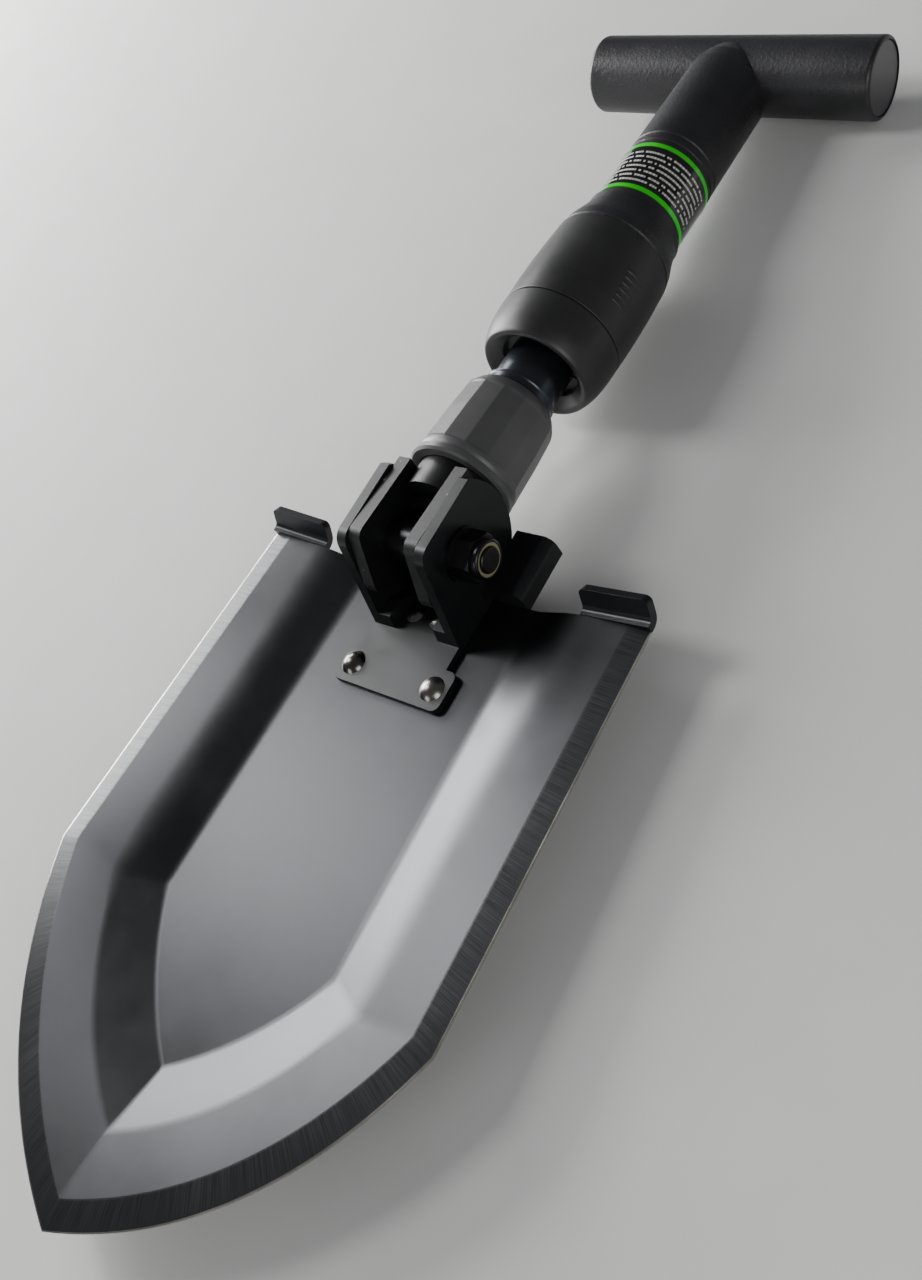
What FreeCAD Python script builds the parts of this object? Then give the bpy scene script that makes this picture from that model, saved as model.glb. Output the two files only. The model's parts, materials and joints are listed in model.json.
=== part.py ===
import FreeCAD, Part
import math
import os

# Folding, telescoping camp shovel with a T handle. Millimetres.
# Blade frame: X across the blade, Y towards the handle, Z out of the hollow
# front face, origin at the middle of the blade's top edge on its rim plane.
# Shaft frame: the same axes turned about X by the shaft's lean, origin on the
# hinge pin, Y along the shaft. Row frame: blade frame moved so that the
# bounding box's bottom centre is the origin.

V = FreeCAD.Vector

# ---- blade sheet ----
SHEET = 2.5                 # blade steel thickness
EDGE = 0.8                  # thickness left at the ground edge
RIM_TOP_HALF = 74.3         # half width at the top edge
RIM_SHOULDER_HALF = 77.5    # half width at the shoulders
SHOULDER_Y = -118.2
TIP_Y = -201.8
TIP_SAG = 12.4              # bulge of each tip edge off its chord
BEVEL_TOP_HALF = 67.5       # inner line of the ground bevel
BEVEL_SHOULDER_HALF = 71.2
BEVEL_SHOULDER_Y = -117.0
BEVEL_TIP_Y = -194.2
BEVEL_SAG = 10.9
SLOPE_TOP_HALF = 49.5       # where the rim turns down into the dish
SLOPE_SHOULDER_HALF = 50.5
SLOPE_SHOULDER_Y = -119.5
SLOPE_TIP_Y = -175.0
SLOPE_SAG = 6.5
FLOOR_TOP_HALF = 34.0       # flat floor of the dish
FLOOR_SHOULDER_HALF = 35.7
FLOOR_SHOULDER_Y = -114.5
FLOOR_TIP_Y = -155.5
FLOOR_SAG = 3.2
DISH_DEPTH = 5.5
RIM_RISE = 2.2              # the rim climbs from the dish to the ground band
EDGE_Z = 1.8                # front of the cutting edge

# ---- step tabs ----
TAB_INNER = 51.0
TAB_FOOT = 1.0              # rim carried past the top edge before the bend
TAB_BEND = 1.6              # inside bend radius
TAB_ANGLE = 67.0            # degrees up from the rim plane
TAB_RISE = 5.8              # height of the tab's front edge
TAB_CORNER = 1.8

# ---- hinge ----
PIVOT_Y = 2.0
PIVOT_Z = 15.2
SHAFT_LEAN = 3.24           # degrees, handle end lower than the hinge
EAR_OUTER = 17.0
EAR_THICK = 3.5
EAR_SWING = 21.0            # the ears' rear ends stay inside this radius
EAR_FRONT_Z = 29.6
EAR_FRONT_Y = -9.4
EAR_FOOT_Y = -19.0
EAR_CORNER = 5.0
HINGE_GAP = 0.3             # side play between ears and cheeks
CHEEK_THICK = 4.5
FOOT_CLEAR_R = 19.2         # inner feet of the ears stay outside this radius
CHEEK_FRONT = 14.0
BASE_THICK = 2.2
BASE_HALF = 21.5
BASE_FRONT_Y = -39.0
BASE_NECK_Y = -26.0
BASE_REAR_Y = -0.5
BOLT_R = 4.0
RUN = 0.05                  # radial clearance of every running fit
CLEAR = 0.1                 # radial clearance of fixed holes
WASHER_R = 8.2
WASHER_THICK = 1.2
HEX_AF = 13.0
BOLT_HEAD = 5.3
NUT_HEX = 6.0
NUT_COLLAR = 2.2
RIVET_R = 2.5
RIVET_HEAD_R = 4.1
RIVET_HEAD = 2.3
RIVET_X = 16.0
RIVET_Y = -32.7
REAR_RIVET_X = 4.6
REAR_RIVET_Y = -12.0
REAR_RIVET_HEAD = 1.0
REAR_RIVET_R = 3.1

# ---- hammer lug ----
HAMMER_HALF = 30.0
HAMMER_LENGTH = 20.5
HAMMER_TOP_Z = 1.0
HAMMER_ROUND = 3.5
HAMMER_LOW_Z = -6.8

# ---- locking nut and lower shaft, positions along the shaft from the pin ----
SEAT_Y = 21.8
SEAT_THICK = 2.4
SEAT_R = 16.9
SHOULDER_R = 13.2
SKIRT_GAP = 0.4
SKIRT_Y = 26.5
NUT_TOP_Y = 54.0
NUT_LOW_R = 16.7
NUT_MID_R = 16.2
NUT_HIGH_R = 15.5
NUT_FLUTES = 14
FLUTE_R = 14.0
FLUTE_DEPTH = 0.35
LINER_WALL = 0.95
THREAD_R = 12.0
SLEEVE_TOP_Y = 58.4
TUBE_R = 10.4
TUBE_WALL = 1.5
TUBE_FOOT_Y = 28.0
TUBE_TOP_Y = 171.0

# ---- twist collar ----
COLLAR_Y = 67.0
COLLAR_JOIN_Y = 83.0
COLLAR_END_Y = 116.3
COLLAR_R = 20.4
COLLAR_END_R = 19.7
COLLAR_MOUTH_R = 16.2
COLLAR_HOLE_R = 12.9
COLLAR_LIP_R = 17.9
MOUTH_DEPTH = 5.0
CORE_R = 17.0
PART_LINE = 0.4

# ---- handle ----
OUTER_TUBE_R = 12.6
OUTER_TUBE_WALL = 1.4
FLARE_END_Y = 129.0
NECK_RING_R = 16.5
NECK_R = 15.2
STRIPE_LOW_Y = 134.1
STRIPE_HIGH_Y = 153.1
STRIPE_WIDTH = 1.6
STRIPE_R = 15.8
LABEL_R = 15.7
STEM_R = 15.5
STEM_TOP_R = 15.0
BAR_TWIST = 5.0             # degrees that the T bar stands turned from the blade's width
BAR_Y = 208.5
BAR_R = 12.8
BAR_HALF = 52.3
BAR_BORE_R = 9.4
BAR_BLEND = 2.5
CAP_R = 11.4
CAP_THICK = 2.6
CAP_INSET = 0.4
BAR_EDGE = 1.4


def arc(a, b, sag):
    """Arc from a to b, bulged by sag away from the blade's centre line."""
    mid = (a + b) * 0.5
    along = (b - a).normalize()
    side = V(along.y, -along.x, 0)
    if side.x * mid.x < 0:
        side = side * -1
    return Part.Arc(a, mid + side * sag, b).toShape()


def outline(top, shoulder, shoulder_y, tip_y, sag, z, top_y=0.0):
    """Closed blade outline: top edge, two sides and two bulged tip edges."""
    top_w = top + (top - shoulder) / abs(shoulder_y) * top_y
    a = V(-top_w, top_y, z)
    b = V(top_w, top_y, z)
    c = V(shoulder, shoulder_y, z)
    d = V(0, tip_y, z)
    e = V(-shoulder, shoulder_y, z)
    left = arc(e, d, sag)
    left.reverse()
    edges = [Part.LineSegment(a, b).toShape(), Part.LineSegment(b, c).toShape()]
    edges += [arc(c, d, sag), left, Part.LineSegment(e, a).toShape()]
    return Part.Wire(edges)


def loft(low, high):
    return Part.makeLoft([low, high], True, True)


def revolve(points):
    """Turn a closed (radius, y) profile about the shaft's Y axis."""
    pts = [V(r, y, 0) for r, y in points]
    face = Part.Face(Part.makePolygon(pts + [pts[0]]))
    return face.revolve(V(0, 0, 0), V(0, 1, 0), 360)


def ring(inner, outer, y0, y1):
    return revolve([(inner, y0), (outer, y0), (outer, y1), (inner, y1)])


def rod(radius, start, axis, length):
    return Part.makeCylinder(radius, length, start, axis)


def box(x0, x1, y0, y1, z0, z1):
    return Part.makeBox(x1 - x0, y1 - y0, z1 - z0, V(x0, y0, z0))


def side_plate(points, x0, x1):
    """Extrude a (y, z) polygon across x."""
    pts = [V(x0, y, z) for y, z in points]
    face = Part.Face(Part.makePolygon(pts + [pts[0]]))
    return face.extrude(V(x1 - x0, 0, 0))


def hexagon(across, x0, length):
    """Hexagonal prism along X on the hinge axis, points up and down."""
    r = across / math.sqrt(3)
    pts = []
    for i in range(6):
        t = math.radians(60 * i + 30)
        pts.append((r * math.cos(t), r * math.sin(t)))
    return side_plate(pts, x0, x0 + length)


def mirrored(shape):
    return shape.mirror(V(0, 0, 0), V(1, 0, 0))


def fillet(shape, radius, pick):
    edges = [e for e in shape.Edges if pick(e)]
    return shape.makeFillet(radius, edges)


def to_blade(shape):
    """Move a hinge-centred shape from the pin to the blade frame."""
    out = shape.copy()
    out.translate(V(0, PIVOT_Y, PIVOT_Z))
    return out


def from_shaft(shape):
    out = shape.copy()
    out.rotate(V(0, 0, 0), V(1, 0, 0), -SHAFT_LEAN)
    out.translate(V(0, PIVOT_Y, PIVOT_Z))
    return out


def from_handle(shape):
    """Place a shaft shape with the handle's turn about the shaft."""
    out = shape.copy()
    out.rotate(V(0, 0, 0), V(0, 1, 0), BAR_TWIST)
    return from_shaft(out)


FLOOR_Z = -DISH_DEPTH
BACK_Z = -DISH_DEPTH - SHEET
BASE_TOP_Z = FLOOR_Z + BASE_THICK
EAR_INNER = EAR_OUTER - EAR_THICK
CHEEK_OUTER = EAR_INNER - HINGE_GAP
CHEEK_INNER = CHEEK_OUTER - CHEEK_THICK
LEAN = math.radians(SHAFT_LEAN)
Y_MID = (PIVOT_Y + BAR_Y * math.cos(LEAN) + BAR_R + TIP_Y) / 2
BAR_DROP = BAR_R + BAR_HALF * math.sin(math.radians(BAR_TWIST))
Z_LOW = PIVOT_Z - BAR_Y * math.sin(LEAN) - BAR_DROP * math.cos(LEAN)

parts = {}


# ---------------- blade body ----------------
def beyond(first, second, share):
    """Outline sizes carried on past the second outline by a share of the step from the first."""
    return tuple(b + share * (b - a) for a, b in zip(first, second))


def make_blade():
    rim = (RIM_TOP_HALF, RIM_SHOULDER_HALF, SHOULDER_Y, TIP_Y, TIP_SAG)
    bevel = (BEVEL_TOP_HALF, BEVEL_SHOULDER_HALF, BEVEL_SHOULDER_Y, BEVEL_TIP_Y, BEVEL_SAG)
    slope = (SLOPE_TOP_HALF, SLOPE_SHOULDER_HALF, SLOPE_SHOULDER_Y, SLOPE_TIP_Y, SLOPE_SAG)
    floor = (FLOOR_TOP_HALF, FLOOR_SHOULDER_HALF, FLOOR_SHOULDER_Y, FLOOR_TIP_Y, FLOOR_SAG)
    crest = beyond(rim, bevel, 0.5)
    crest_z = RIM_RISE + 0.5 * (RIM_RISE - EDGE_Z)
    under = loft(outline(*slope, -SHEET, 2.0), outline(*rim, EDGE_Z - EDGE, 2.0))
    wall = Part.Face(outline(*rim, EDGE_Z - EDGE, 2.0)).extrude(V(0, 0, EDGE))
    ground = loft(outline(*rim, EDGE_Z, 2.0), outline(*crest, crest_z, 2.0))
    dish = loft(outline(*slope, -SHEET, 2.0), outline(*floor, BACK_Z, 2.0))
    hollow = loft(outline(*slope, 0, 4.0), outline(*floor, FLOOR_Z, 4.0))
    above = loft(outline(*slope, 0, 4.0), outline(*beyond(slope, bevel, 0.3), 1.3 * RIM_RISE, 4.0))
    blade = under.fuse([wall, ground, dish]).cut(hollow.fuse(above))
    reach = RIM_SHOULDER_HALF + 10
    blade = blade.common(Part.makeBox(2 * reach, -TIP_Y + 10, 40, V(-reach, TIP_Y - 10, -20)))
    tab = make_tab()
    climb = math.atan2(RIM_RISE, BEVEL_TOP_HALF - SLOPE_TOP_HALF)
    tab.rotate(V(SLOPE_TOP_HALF, 0, 0), V(0, 1, 0), -math.degrees(climb))
    blade = blade.fuse([tab, mirrored(tab)])
    for x in (-1, 1):
        blade = blade.cut(rivet_shank(x * RIVET_X, RIVET_Y, CLEAR))
        blade = blade.cut(rivet_shank(x * REAR_RIVET_X, REAR_RIVET_Y, CLEAR))
    return blade.removeSplitter()


def make_tab():
    """Bent step tab: rim strip, bend and rising leaf, with rounded outer corner."""
    a = math.radians(TAB_ANGLE)
    ro = TAB_BEND + SHEET
    cy = TAB_FOOT
    cz = TAB_BEND
    half = a / 2
    inner_mid = V(0, cy + TAB_BEND * math.sin(half), cz - TAB_BEND * math.cos(half))
    inner_end = V(0, cy + TAB_BEND * math.sin(a), cz - TAB_BEND * math.cos(a))
    outer_mid = V(0, cy + ro * math.sin(half), cz - ro * math.cos(half))
    outer_end = V(0, cy + ro * math.sin(a), cz - ro * math.cos(a))
    run = (TAB_RISE - inner_end.z) / math.sin(a)
    up = V(0, math.cos(a), math.sin(a)) * run
    start = V(0, 0, 0)
    foot = V(0, cy, 0)
    foot_low = V(0, cy, -SHEET)
    start_low = V(0, 0, -SHEET)
    edges = [Part.LineSegment(start, foot).toShape(), Part.Arc(foot, inner_mid, inner_end).toShape()]
    edges.append(Part.LineSegment(inner_end, inner_end + up).toShape())
    edges.append(Part.LineSegment(inner_end + up, outer_end + up).toShape())
    edges.append(Part.LineSegment(outer_end + up, outer_end).toShape())
    edges.append(Part.Arc(outer_end, outer_mid, foot_low).toShape())
    edges.append(Part.LineSegment(foot_low, start_low).toShape())
    edges.append(Part.LineSegment(start_low, start).toShape())
    leaf = Part.Face(Part.Wire(edges))
    leaf.translate(V(TAB_INNER, 0, 0))
    leaf = leaf.extrude(V(RIM_TOP_HALF - TAB_INNER, 0, 0))
    top = inner_end.z + 1.0
    return fillet(leaf, TAB_CORNER, lambda e: across_tab(e, top))


def across_tab(edge, height):
    """True for the short edges that cross the sheet at the tab's top corners."""
    box_ = edge.BoundBox
    return box_.ZMin > height and box_.XLength < 0.01 and edge.Length < SHEET + 0.1


def rivet_shank(x, y, gap):
    return rod(RIVET_R + gap, V(x, y, BACK_Z), V(0, 0, 1), BASE_TOP_Z - BACK_Z)


def make_ear():
    pts = [(EAR_FOOT_Y, FLOOR_Z), (EAR_FRONT_Y, EAR_FRONT_Z), (24.0, EAR_FRONT_Z), (24.0, FLOOR_Z)]
    pts = [(y - PIVOT_Y, z - PIVOT_Z) for y, z in pts]
    plate = side_plate(pts, EAR_INNER, EAR_OUTER)
    corner = EAR_FRONT_Z - PIVOT_Z
    plate = fillet(plate, EAR_CORNER, lambda e: e.BoundBox.XLength > 1 and e.BoundBox.ZMin > corner - 0.1
                   and e.BoundBox.YMax < 0)
    keep = rod(EAR_SWING, V(EAR_INNER - 1, 0, 0), V(1, 0, 0), EAR_THICK + 2)
    keep = keep.fuse(box(EAR_INNER - 1, EAR_OUTER + 1, -40, 4.0, -40, 40))
    return plate.common(keep)


def make_foot():
    """Foot doubled inside an ear, clear of the fork's cheeks as the blade folds."""
    pts = [(EAR_FOOT_Y, FLOOR_Z), (EAR_FRONT_Y, EAR_FRONT_Z), (-7.0, EAR_FRONT_Z), (-7.0, FLOOR_Z)]
    pts = [(y - PIVOT_Y, z - PIVOT_Z) for y, z in pts]
    foot = side_plate(pts, CHEEK_INNER, EAR_INNER)
    return foot.cut(rod(FOOT_CLEAR_R, V(CHEEK_INNER - 1, 0, 0), V(1, 0, 0), 30)).common(
        box(0, 40, -40, 0, -40, -CHEEK_FRONT))


def make_bracket():
    """Riveted base with two ears bent up beside the fork."""
    z0 = FLOOR_Z
    front = box(-BASE_HALF, BASE_HALF, BASE_FRONT_Y, BASE_NECK_Y, z0, BASE_TOP_Z)
    front = fillet(front, 2.5, lambda e: e.BoundBox.ZLength > 1)
    neck = box(-EAR_OUTER, EAR_OUTER, BASE_NECK_Y - 4, BASE_REAR_Y, z0, BASE_TOP_Z)
    ear = to_blade(make_ear())
    foot = to_blade(make_foot())
    bracket = front.fuse([neck, ear, mirrored(ear), foot, mirrored(foot)])
    for s in (-1, 1):
        bracket = bracket.cut(rivet_shank(s * RIVET_X, RIVET_Y, CLEAR))
        bracket = bracket.cut(rivet_shank(s * REAR_RIVET_X, REAR_RIVET_Y, CLEAR))
    hole = to_blade(rod(BOLT_R + CLEAR, V(-40, 0, 0), V(1, 0, 0), 80))
    return bracket.cut(hole).removeSplitter()


def dome(radius, height):
    """Spherical cap rising height above z = 0 with the given base radius."""
    big = (radius * radius + height * height) / (2 * height)
    ball = Part.makeSphere(big, V(0, 0, height - big))
    return ball.common(box(-radius, radius, -radius, radius, 0, height + 1))


def make_rivets():
    solids = []
    rows = [(RIVET_X, RIVET_Y, RIVET_HEAD_R, RIVET_HEAD)]
    rows.append((REAR_RIVET_X, REAR_RIVET_Y, REAR_RIVET_R, REAR_RIVET_HEAD))
    for x, y, r, h in rows:
        for s in (-1, 1):
            head = dome(r, h)
            head.translate(V(s * x, y, BASE_TOP_Z))
            solids.append(head.fuse(rivet_shank(s * x, y, 0.0)).removeSplitter())
    return Part.makeCompound(solids)


def make_hammer():
    """Bent steel striking lug: two side boxes joined under the fork."""
    y0 = 0.0
    y1 = HAMMER_LENGTH
    side = box(EAR_OUTER, HAMMER_HALF, y0, y1, HAMMER_LOW_Z, HAMMER_TOP_Z)
    side = fillet(side, HAMMER_ROUND, lambda e: e.BoundBox.YLength > 10 and e.BoundBox.XMin > HAMMER_HALF - 1
                  and e.BoundBox.ZMin > HAMMER_LOW_Z + 1)
    bridge = box(-EAR_OUTER - 1, EAR_OUTER + 1, y0, y1 - 4.0, HAMMER_LOW_Z, BASE_TOP_Z - 1.2)
    return side.fuse([mirrored(side), bridge]).cut(make_bracket()).removeSplitter()


parts["blade"] = make_blade()
parts["blade_bracket"] = make_bracket()
parts["bracket_rivets"] = make_rivets()
parts["hammer_lug"] = make_hammer()

head = hexagon(HEX_AF, -EAR_OUTER - WASHER_THICK - BOLT_HEAD, BOLT_HEAD)
bolt_end = EAR_OUTER + WASHER_THICK + NUT_HEX + NUT_COLLAR + 0.5
shank_start = -EAR_OUTER - WASHER_THICK
shank = rod(BOLT_R, V(shank_start, 0, 0), V(1, 0, 0), bolt_end - shank_start)
shank = fillet(shank, 0.8, lambda e: e.BoundBox.XMin > bolt_end - 0.1)
parts["pivot_bolt"] = to_blade(head.fuse(shank).removeSplitter())

washers = []
for x in (-EAR_OUTER - WASHER_THICK, EAR_OUTER):
    disc = rod(WASHER_R, V(x, 0, 0), V(1, 0, 0), WASHER_THICK)
    washers.append(disc.cut(rod(BOLT_R + CLEAR, V(x - 1, 0, 0), V(1, 0, 0), 4)))
parts["pivot_washers"] = to_blade(Part.makeCompound(washers))

nut_x = EAR_OUTER + WASHER_THICK
hexa = hexagon(HEX_AF, nut_x, NUT_HEX)
cone = Part.makeCone(HEX_AF / 2 + NUT_HEX + 0.2, HEX_AF / 2 + 0.2, NUT_HEX, V(nut_x, 0, 0), V(1, 0, 0))
collar = rod(5.9, V(nut_x + NUT_HEX, 0, 0), V(1, 0, 0), NUT_COLLAR)
collar = fillet(collar, 0.9, lambda e: e.BoundBox.XMin > nut_x + NUT_HEX + 1)
pivot_nut = hexa.common(cone).fuse(collar)
pivot_nut = pivot_nut.cut(rod(BOLT_R, V(nut_x - 1, 0, 0), V(1, 0, 0), 12))
pocket = rod(5.0, V(nut_x + NUT_HEX, 0, 0), V(1, 0, 0), 4)
parts["pivot_nut"] = to_blade(pivot_nut.cut(pocket).removeSplitter())
insert = rod(5.0, V(nut_x + NUT_HEX, 0, 0), V(1, 0, 0), NUT_COLLAR - 0.4)
insert = insert.cut(rod(BOLT_R, V(nut_x, 0, 0), V(1, 0, 0), 12))
parts["pivot_nut_ring"] = to_blade(insert)


# ---------------- lower shaft, the fixed body ----------------
def make_cheek():
    pts = [(SEAT_Y - 3.0, CHEEK_FRONT), (-10.0, CHEEK_FRONT), (-16.6, -5.0), (-11.5, -12.8), (SEAT_Y - 3.0, -12.8)]
    plate = side_plate(pts, CHEEK_INNER, CHEEK_OUTER)
    return fillet(plate, 4.0, lambda e: e.BoundBox.XLength > 1 and e.BoundBox.YMax < 0)


def make_fork():
    """Cast fork: two cheeks, a round shoulder and a plug inside the tube."""
    cheek = make_cheek()
    stem = ring(0, SHOULDER_R, 12.0, SKIRT_Y - 0.5)
    plug = rod(TUBE_R - TUBE_WALL, V(0, SKIRT_Y - 2, 0), V(0, 1, 0), 18)
    web = box(-CHEEK_INNER, CHEEK_INNER, 9.0, SEAT_Y - 3.0, -12.8, CHEEK_FRONT - 4.0)
    web = web.cut(rod(7.0, V(-20, 6.0, 9.0), V(1, 0, 0), 40))
    fork = stem.fuse([cheek, mirrored(cheek), web, plug])
    fork = fork.cut(rod(BOLT_R + RUN, V(-40, 0, 0), V(1, 0, 0), 80))
    seat = ring(TUBE_R - TUBE_WALL, TUBE_R + 3, SKIRT_Y - 0.5, 60)
    fork = fork.cut(seat)
    return fork.cut(pin_hole()).removeSplitter()


def pin_hole():
    return rod(2.0, V(-20, 36.0, 0), V(1, 0, 0), 40)


def make_sleeve():
    """Threaded sleeve, plain under the nut, with two crests and a rolled lip above it."""
    r = THREAD_R
    low = r - 0.7
    prof = [(TUBE_R, SKIRT_Y - 0.5), (r, SKIRT_Y - 0.5), (r, NUT_TOP_Y - 1)]
    prof += [(low, NUT_TOP_Y - 0.4), (low, NUT_TOP_Y + 0.6), (r - 0.2, NUT_TOP_Y + 1.0)]
    prof += [(r - 0.2, NUT_TOP_Y + 1.4), (low, NUT_TOP_Y + 1.8), (low, SLEEVE_TOP_Y - 1.2)]
    prof += [(r - 0.4, SLEEVE_TOP_Y - 0.8), (r - 0.4, SLEEVE_TOP_Y - 0.3), (r - 0.8, SLEEVE_TOP_Y)]
    prof += [(TUBE_R, SLEEVE_TOP_Y)]
    return revolve(prof).cut(pin_hole())


parts["hinge_fork"] = from_shaft(make_fork())
spacer = rod(6.6, V(-CHEEK_INNER, 0, 0), V(1, 0, 0), 2 * CHEEK_INNER)
spacer = spacer.cut(rod(BOLT_R + RUN, V(-20, 0, 0), V(1, 0, 0), 40))
parts["pivot_spacer"] = from_shaft(spacer)
parts["threaded_sleeve"] = from_shaft(make_sleeve())
parts["fork_pin"] = from_shaft(rod(2.0, V(-11.3, 36.0, 0), V(1, 0, 0), 22.6))
tube = ring(TUBE_R - TUBE_WALL, TUBE_R, TUBE_FOOT_Y, TUBE_TOP_Y)
parts["inner_tube"] = from_shaft(tube.cut(pin_hole()))
bush_r = OUTER_TUBE_R - OUTER_TUBE_WALL - RUN
bush = ring(TUBE_R, bush_r, TUBE_TOP_Y - 9.0, TUBE_TOP_Y)
parts["tube_bush"] = from_shaft(bush)
plug_r = TUBE_R - TUBE_WALL
plug_pts = [(0, TUBE_TOP_Y - 8), (plug_r, TUBE_TOP_Y - 8), (plug_r, TUBE_TOP_Y), (TUBE_R, TUBE_TOP_Y)]
plug_pts += [(TUBE_R - 0.6, TUBE_TOP_Y + 1.5), (0, TUBE_TOP_Y + 1.5)]
parts["tube_plug"] = from_shaft(revolve(plug_pts))

# ---------------- locking nut and its seat ring ----------------
skirt_r = SHOULDER_R + SKIRT_GAP
nut_y = SEAT_Y + SEAT_THICK
seat_pts = [(skirt_r, SEAT_Y), (SEAT_R - 0.7, SEAT_Y), (SEAT_R, SEAT_Y + 0.7), (SEAT_R, nut_y - 0.1)]
seat_pts += [(skirt_r, nut_y - 0.1)]
parts["nut_seat_ring"] = from_shaft(revolve(seat_pts))

liner_r = THREAD_R + RUN + LINER_WALL


def make_nut():
    """Fluted locking nut with a rounded shoulder at its upper end."""
    prof = [(skirt_r, nut_y), (NUT_LOW_R - 0.4, nut_y), (NUT_LOW_R, nut_y + 0.5), (NUT_LOW_R, nut_y + 2.0)]
    prof += [(NUT_MID_R, nut_y + 16.0), (NUT_HIGH_R, NUT_TOP_Y - 4.5)]
    for i in range(1, 7):
        t = math.radians(15 * i)
        prof.append((NUT_HIGH_R - 2.8 * (1 - math.cos(t)), NUT_TOP_Y - 4.5 + 4.5 * math.sin(t)))
    prof += [(THREAD_R + 0.4, NUT_TOP_Y), (THREAD_R + 0.4, NUT_TOP_Y - 2), (liner_r, NUT_TOP_Y - 2)]
    prof += [(liner_r, SKIRT_Y), (skirt_r, SKIRT_Y)]
    nut = revolve(prof)
    reach = NUT_MID_R + FLUTE_R - FLUTE_DEPTH
    for i in range(NUT_FLUTES):
        t = 2 * math.pi * (i + 0.5) / NUT_FLUTES
        flute = rod(FLUTE_R, V(0, nut_y + 5.0, 0), V(0, 1, 0), NUT_TOP_Y - nut_y - 11.0)
        flute.translate(V(reach * math.sin(t), 0, reach * math.cos(t)))
        nut = nut.cut(flute)
    return nut


parts["locking_nut"] = from_shaft(make_nut())
parts["nut_liner"] = from_shaft(ring(THREAD_R + RUN, liner_r, SKIRT_Y, NUT_TOP_Y - 2))

# ---------------- twist collar ----------------
bore = OUTER_TUBE_R + RUN
core_low = COLLAR_Y + MOUTH_DEPTH
core = ring(bore, CORE_R, core_low, COLLAR_END_Y)
core = core.cut(ring(bore - 1, OUTER_TUBE_R + 1.8, COLLAR_JOIN_Y + 2.7, COLLAR_JOIN_Y + 5.3))
parts["collar_core"] = from_shaft(core)
bezel_pts = [(COLLAR_HOLE_R, COLLAR_Y + 3.4), (COLLAR_MOUTH_R, COLLAR_Y + 0.3), (COLLAR_MOUTH_R + 0.8, COLLAR_Y)]
bezel_pts += [(COLLAR_LIP_R - 0.6, COLLAR_Y)]
for i in range(1, 7):
    t = math.radians(15 * i)
    grow = COLLAR_R - (COLLAR_LIP_R - 0.6)
    bezel_pts.append((COLLAR_LIP_R - 0.6 + grow * math.sin(t), COLLAR_Y + 10.0 * (1 - math.cos(t))))
bezel_pts += [(COLLAR_R + 0.1, COLLAR_JOIN_Y - PART_LINE / 2), (CORE_R, COLLAR_JOIN_Y - PART_LINE / 2)]
bezel_pts += [(CORE_R, core_low), (COLLAR_HOLE_R, core_low)]
parts["collar_bezel"] = from_shaft(revolve(bezel_pts))
grip_pts = [(CORE_R, COLLAR_JOIN_Y - PART_LINE / 2), (CORE_R + 2.2, COLLAR_JOIN_Y - PART_LINE / 2)]
grip_pts += [(CORE_R + 2.2, COLLAR_JOIN_Y + PART_LINE / 2), (COLLAR_R, COLLAR_JOIN_Y + PART_LINE / 2)]
grip_pts += [(COLLAR_R + 0.3, COLLAR_JOIN_Y + 6.0), (COLLAR_R + 0.1, COLLAR_END_Y - 14.0)]
grip_pts += [(COLLAR_END_R, COLLAR_END_Y - 0.4), (COLLAR_END_R - 0.4, COLLAR_END_Y), (CORE_R, COLLAR_END_Y)]
parts["collar_grip"] = from_shaft(revolve(grip_pts))

# ---------------- handle ----------------
shell_low = COLLAR_END_Y + PART_LINE
tube_low = COLLAR_JOIN_Y - 1.0
tube_high = TUBE_TOP_Y + 4.0
stripe_low = STRIPE_LOW_Y - STRIPE_WIDTH / 2
stripe_high = STRIPE_HIGH_Y + STRIPE_WIDTH / 2


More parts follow.
